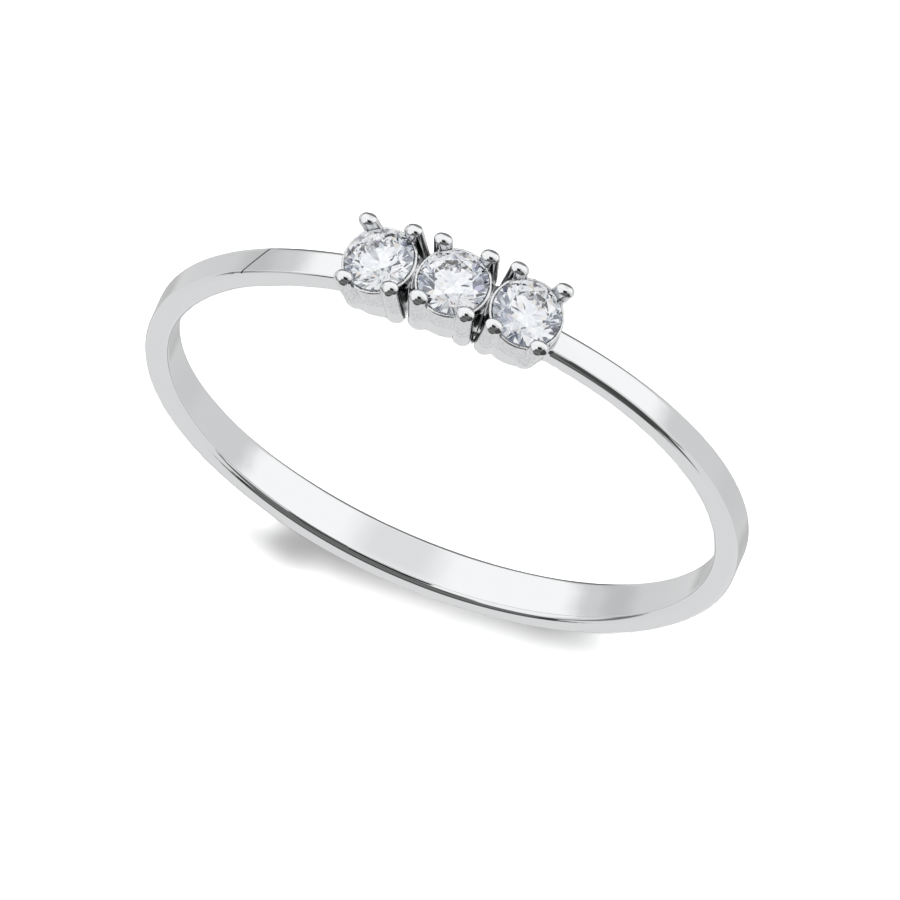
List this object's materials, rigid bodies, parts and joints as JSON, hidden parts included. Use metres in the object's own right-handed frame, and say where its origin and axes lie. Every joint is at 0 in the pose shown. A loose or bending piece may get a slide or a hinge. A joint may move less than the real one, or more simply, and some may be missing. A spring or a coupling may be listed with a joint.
{
  "type": "three-stone cubic zirconia ring",
  "caption": "Slim finger ring in polished silver, its flat band narrowing towards a row of round brilliant-cut cubic zirconias in claw settings.",
  "frame": {"origin": "middle of the finger hole, halfway between the band's two sides", "axes": "+Z along the finger hole, straight up as the ring lies on its side; the stones face -Y; the row of stones runs along X"},
  "size_m": [0.0178, 0.019, 0.0026],
  "materials": {
    "polished_silver": "cast sterling silver, polished to a mirror and rhodium plated",
    "cubic_zirconia": "clear cubic zirconia, cut as round brilliants with polished facets"
  },
  "bodies": {
    "root": {"band_with_settings": "polished_silver", "stone_left": "cubic_zirconia", "stone_centre": "cubic_zirconia", "stone_right": "cubic_zirconia"}
  },
  "joints": []
}
